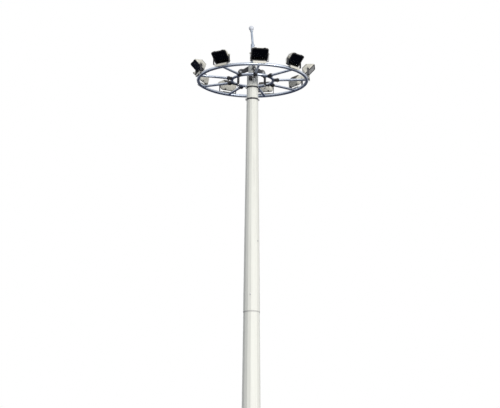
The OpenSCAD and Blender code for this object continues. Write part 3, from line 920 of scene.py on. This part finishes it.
def round_loop(bm, x, width, height, radius, drop=0.0, keep_face=False):
    """Edges of a rectangle with round corners, across local X."""
    corners = [
        bm.verts.new((x, side * width / 2, drop + rise * height / 2))
        for side, rise in ((-1, -1), (1, -1), (1, 1), (-1, 1))
    ]
    bm.faces.new(corners)
    rounded = bmesh.ops.bevel(
        bm, geom=corners, offset=radius, offset_type="OFFSET", segments=5, profile=0.5,
        affect="VERTICES", clamp_overlap=True, material=-1,
    )
    face = rounded["verts"][0].link_faces[0]
    edges = list(face.edges)
    if not keep_face:
        bmesh.ops.delete(bm, geom=[face], context="FACES_ONLY")
    return edges


def bridge(bm, loops):
    for first, second in zip(loops, loops[1:]):
        bmesh.ops.bridge_loops(bm, edges=first + second)


def lamp_place(angle):
    """A floodlight's own frame: +X out of its glass, +Y along its tilt axis."""
    to_pivot = Matrix.Translation((pivot_radius, 0, pivot["lamp_1"].z))
    return facing(angle) @ to_pivot @ Matrix.Rotation(aim, 4, "Y")


def fit_to_lamps(name, mesh, material, node=None):
    """One copy of a ready-made mesh on each floodlight."""
    for i, angle in enumerate(lamp_angles, 1):
        copy = mesh.copy()
        copy.transform(lamp_place(angle))
        piece = show(f"{name}_{i}", copy, material, f"lamp_{i}")
        if node:
            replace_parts(piece, f"lamp_{i}_{node}")


shell = bmesh.new()
lip_back = lip_x - lip_depth
pan = [
    round_loop(shell, lip_x, lamp_width, lamp_height, corner_radius),
    round_loop(shell, lip_back, lamp_width, lamp_height, corner_radius),
    round_loop(shell, lip_back - 0.003, lamp_width - 0.012, lamp_height - 0.012, corner_radius - 0.006),
    round_loop(shell, back_x + 0.024, lamp_width * 0.75, lamp_height * 0.60, 0.028, back_drop * 0.9),
    round_loop(shell, back_x + 0.006, lamp_width * 0.70, lamp_height * 0.545, 0.026, back_drop),
    round_loop(shell, back_x, lamp_width * 0.67, lamp_height * 0.51, 0.022, back_drop, True),
]
bridge(shell, pan)
bmesh.ops.recalc_face_normals(shell, faces=shell.faces)
bmesh.ops.solidify(shell, geom=shell.faces[:], thickness=wall)
pivot_bolt = hex_fastener("pivot_bolt", 0.0175)
for side in (-1, 1):
    sideways = Matrix.Rotation(math.radians(-90 * side), 4, "X")
    boss = bmesh.new()
    drum(boss, boss_radius, lamp_width * 0.41, boss_y, 28, 0.002)
    drum(boss, pin_radius, boss_y - 0.01, leg_outer_y + 0.004, 16)
    boss_mesh = to_mesh(boss, "boss")
    stamp(shell, boss_mesh, sideways)
    stamp(shell, pivot_bolt, Matrix.Translation((0, side * (leg_outer_y + 0.0003), 0)) @ sideways)
fit_to_lamps("lamp_shell", to_mesh(shell, "lamp_shell"), shell_paint, "housing")


# Floodlight gear covers. A dark cast cover with cooling ribs closes the back of each shell.
gear_grey = weathered("gear_grey", (0.085, 0.080, 0.072, 1), (0.17, 0.155, 0.13, 1), 0.6, 180.0, 0.5, 0.3)
gear = bmesh.new()
gear_loops = [
    round_loop(gear, back_x + 0.001, lamp_width * 0.66, lamp_height * 0.50, 0.022, back_drop, True),
    round_loop(gear, back_x - 0.003, lamp_width * 0.66, lamp_height * 0.50, 0.022, back_drop),
    round_loop(gear, back_x - 0.005, lamp_width * 0.65, lamp_height * 0.49, 0.020, back_drop, True),
]
bridge(gear, gear_loops)
for k in range(rib_count):
    y = (k / (rib_count - 1) - 0.5) * lamp_width * 0.58
    rib_place = Matrix.Translation((back_x - 0.010, y, back_drop))
    soft_block(gear, (0.016, 0.006, lamp_height * 0.46), rib_place, 0.002, 2)
fit_to_lamps("gear_cover", to_mesh(gear, "gear_cover"), gear_grey)


# Floodlight front frames. A black die-cast frame, hinged at its top and held by two low clips at
# its foot, clamps the glass against the shell.
frame_black = weathered("frame_black", (0.018, 0.018, 0.020, 1), (0.07, 0.067, 0.062, 1), 0.5, 260.0, 0.5)
bezel_width = 0.028
opening_width, opening_height = lamp_width - 2 * bezel_width, lamp_height - 2 * bezel_width
opening_corner = corner_radius - bezel_width / 2
clip_y = lamp_width * 0.27
screw_columns = (-0.175, -0.06, 0.06, 0.175)
screw_row = 0.156
bezel = bmesh.new()
rims = [
    round_loop(bezel, lip_x + 0.0002, opening_width, opening_height, opening_corner),
    round_loop(bezel, lip_x + 0.0002, lamp_width, lamp_height, corner_radius),
    round_loop(bezel, face_x - 0.004, lamp_width, lamp_height, corner_radius),
    round_loop(bezel, face_x - 0.001, lamp_width - 0.003, lamp_height - 0.003, corner_radius - 0.001),
    round_loop(bezel, face_x, lamp_width - 0.010, lamp_height - 0.010, corner_radius - 0.004),
    round_loop(bezel, face_x, opening_width + 0.014, opening_height + 0.014, opening_corner + 0.006),
    round_loop(bezel, face_x - 0.006, opening_width, opening_height, opening_corner),
]
bridge(bezel, rims + rims[:1])
for y in (-clip_y, clip_y):
    soft_block(bezel, (0.032, 0.044, 0.008), Matrix.Translation((0.028, y, -lamp_height / 2)), 0.002, 2)
    soft_block(bezel, (0.034, 0.058, 0.010), Matrix.Translation((0.040, y, lamp_height / 2)), 0.003, 2)
fit_to_lamps("lamp_bezel", to_mesh(bezel, "lamp_bezel"), frame_black, "frame")
bezel_screws = bmesh.new()
face_turn = Matrix.Rotation(math.radians(90), 4, "Y")
for y in screw_columns:
    for z in (-screw_row, screw_row):
        stamp(bezel_screws, screw_mesh, Matrix.Translation((face_x - 0.0003, y, z)) @ face_turn)
fit_to_lamps("bezel_screws", to_mesh(bezel_screws, "bezel_screws"), zinc)


# Floodlight glass. A sheet of toughened glass with a thin film of dust, tinted near black as painted
# shade for the dark inside of the floodlight.
lamp_glass = bpy.data.materials.new("painted_shade_glass")
lamp_glass.use_nodes = True
glass_tree = lamp_glass.node_tree
glass = glass_tree.nodes["Principled BSDF"]
glass.inputs["Transmission Weight"].default_value = 1.0
glass.inputs["IOR"].default_value = 1.45
glass_dust = glass_tree.nodes.new("ShaderNodeGroup")
glass_dust.node_tree = weathering
# The near-black Clean colour is painted shade of the floodlight's inside; the Soiled colour is dust.
for label, value in (
    ("Clean", (0.060, 0.062, 0.064, 1)), ("Soiled", (0.085, 0.085, 0.072, 1)),
    ("Streaks", 0.5), ("Grain", 60.0), ("Gloss", 0.08),
):
    glass_dust.inputs[label].default_value = value
glass_tree.links.new(glass_dust.outputs["Color"], glass.inputs["Base Color"])
glass_tree.links.new(glass_dust.outputs["Roughness"], glass.inputs["Roughness"])
finish_nodes(lamp_glass, *[f"lamp_{i}_glass" for i in range(1, 10)])


# Floodlight reflectors. A bowl of peened aluminium sheet behind the glass, with a discharge lamp
# between two ceramic holders across it.
reflector_rim = 0.0457
bowl_x = -0.073
sheet = 0.002
peened = spangled("peened_aluminium", (0.72, 0.72, 0.72, 1), (0.58, 0.58, 0.585, 1), 75.0, 0.9, 0.002)
bowl = bmesh.new()
bowl_loops = [
    round_loop(bowl, reflector_rim, lamp_width - 0.0086, lamp_height - 0.0086, corner_radius - 0.004),
    round_loop(bowl, reflector_rim, lamp_width - 0.050, lamp_height - 0.050, 0.024),
    round_loop(bowl, bowl_x + 0.030, lamp_width * 0.66, lamp_height * 0.48, 0.024),
    round_loop(bowl, bowl_x + sheet, lamp_width * 0.53, lamp_height * 0.36, 0.020, 0.0, True),
]
bridge(bowl, bowl_loops)
bmesh.ops.recalc_face_normals(bowl, faces=bowl.faces)
bmesh.ops.solidify(bowl, geom=bowl.faces[:], thickness=-sheet * 0.9)
fit_to_lamps("lamp_bowl", to_mesh(bowl, "lamp_bowl"), peened, "reflector")

quartz = weathered("frosted_quartz", (0.80, 0.79, 0.74, 1), (0.62, 0.60, 0.55, 1), 0.4, 150.0, 0.25)
burner_half = lamp_width * 0.22
burner_x = -0.024
holder_end = lamp_width * 0.325
bulb_end = [(r, burner_half * z) for r, z in ((0.020, 0.70), (0.018, 0.86), (0.012, 0.97), (0.0, 1.0))]
tube = bmesh.new()
turned(tube, [(r, -z) for r, z in reversed(bulb_end)] + bulb_end, 24)
for side in (-1, 1):
    low, high = sorted((side * burner_half * 0.95, side * holder_end))
    drum(tube, 0.013, low, high, 16, 0.002)
burner = bmesh.new()
stamp(burner, to_mesh(tube, "burner_tube"), Matrix.Translation((burner_x, 0, 0)) @ upright_to_front)
fit_to_lamps("lamp_burner", to_mesh(burner, "lamp_burner"), quartz)
